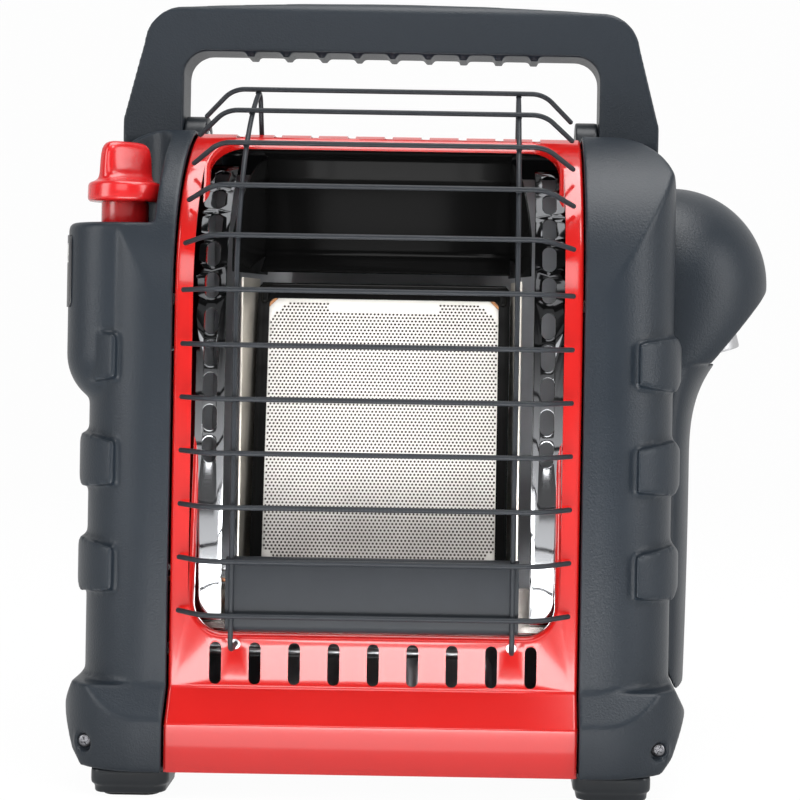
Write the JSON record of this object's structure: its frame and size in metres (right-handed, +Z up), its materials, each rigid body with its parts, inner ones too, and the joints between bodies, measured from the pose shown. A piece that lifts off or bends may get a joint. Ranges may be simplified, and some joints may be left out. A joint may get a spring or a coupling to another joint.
{
  "type": "portable propane heater",
  "caption": "Tabletop propane heater: ceramic burner behind a wire guard in a red steel front, dark moulded sides, fold-down handle, push-and-turn knob and swivel gas inlet.",
  "frame": {"origin": "on the floor, under the middle of the heater's bounding box", "axes": "+X to the right of someone facing the burner, +Y back from the front, +Z up"},
  "size_m": [0.3457, 0.1952, 0.381],
  "materials": {
    "red_paint": "glossy baked enamel on folded steel sheet",
    "wire_coat": "dark grey satin powder coat on steel wire",
    "charcoal": "fine-textured moulded plastic, blue grey",
    "charcoal_smooth": "plain moulded plastic",
    "plated_steel": "zinc-plated steel sheet",
    "steel_mirror": "bright rolled reflector sheet",
    "dark_steel": "black painted steel",
    "black_enamel": "glossy black enamel",
    "tile_ceramic": "unglazed perforated ceramic, sooted low down",
    "white_ceramic": "plain insulating ceramic",
    "gasket_fibre": "fibre sealing strip",
    "copper_tube": "soft copper tube",
    "brass": "turned brass",
    "zinc_cast": "die-cast, as cast",
    "bright_steel": "turned bright steel",
    "red_knob": "glossy moulded red plastic",
    "black_plastic": "black moulded plastic",
    "rubber": "soft black rubber",
    "label": "plain dark dial plate"
  },
  "bodies": {
    "body": {"front_panel": "red_paint", "guard_bars": "wire_coat", "guard_uprights": "wire_coat", "guard_plate": "wire_coat", "guard_clips": "plated_steel", "side_shell_left": "charcoal", "side_shell_right": "charcoal", "regulator_cover": "charcoal", "rear_cover": "charcoal", "base_pan": "dark_steel", "feet": "charcoal_smooth", "foot_pads": "rubber", "chassis_sides": "plated_steel", "heat_shield": "plated_steel", "handle_brackets": "charcoal_smooth", "handle_pins": "bright_steel", "side_strip_left": "steel_mirror", "side_strip_right": "steel_mirror", "side_mirror_left": "steel_mirror", "side_mirror_right": "steel_mirror", "hood": "black_enamel", "lower_reflector": "steel_mirror", "burner_frame": "black_enamel", "ceramic_tile": "tile_ceramic", "tile_gasket": "gasket_fibre", "burner_plenum": "plated_steel", "venturi_tube": "plated_steel", "gas_jet": "brass", "jet_bracket": "plated_steel", "pilot_bracket": "plated_steel", "pilot_burner": "bright_steel", "thermocouple": "bright_steel", "spark_electrode": "white_ceramic", "valve_bracket": "plated_steel", "control_valve": "zinc_cast", "return_spring": "bright_steel", "dial_plate": "label", "piezo_igniter": "black_plastic", "tip_over_switch": "black_plastic", "feed_pipe": "plated_steel", "burner_pipe": "plated_steel", "pilot_pipe": "plated_steel", "thermocouple_lead": "copper_tube", "igniter_lead": "white_ceramic", "swivel_elbow": "brass", "swivel_locknut": "brass", "skirt_screws": "plated_steel", "rear_screws": "plated_steel"},
    "handle": {"carry_handle": "charcoal"},
    "push": {"push_plate": "plated_steel", "igniter_plunger": "black_plastic"},
    "knob": {"control_knob": "red_knob", "valve_spindle": "bright_steel"},
    "regulator": {"regulator_body": "zinc_cast", "regulator_bonnet": "zinc_cast", "inlet_nut": "zinc_cast", "inlet_seal": "rubber"}
  },
  "joints": [
    {"name": "handle_fold", "type": "hinge", "parent": "body", "child": "handle", "pos_m": [0, 0.0066, 0.312], "axis": [-1, 0, 0], "range_deg": [0, 90]},
    {"name": "knob_push", "type": "slide", "parent": "body", "child": "push", "axis": [0, 0, -1], "range_m": [0, 0.005], "stiffness_N_per_m": 600, "deforming": ["return_spring"]},
    {"name": "knob_turn", "type": "hinge", "parent": "push", "child": "knob", "pos_m": [-0.14615, -0.0484, 0.264], "axis": [0, 0, 1], "range_deg": [0, 180]},
    {"name": "regulator_swivel", "type": "hinge", "parent": "body", "child": "regulator", "pos_m": [0.13535, 0.0266, 0.245], "axis": [0, -1, 0], "range_deg": [0, 25]}
  ]
}
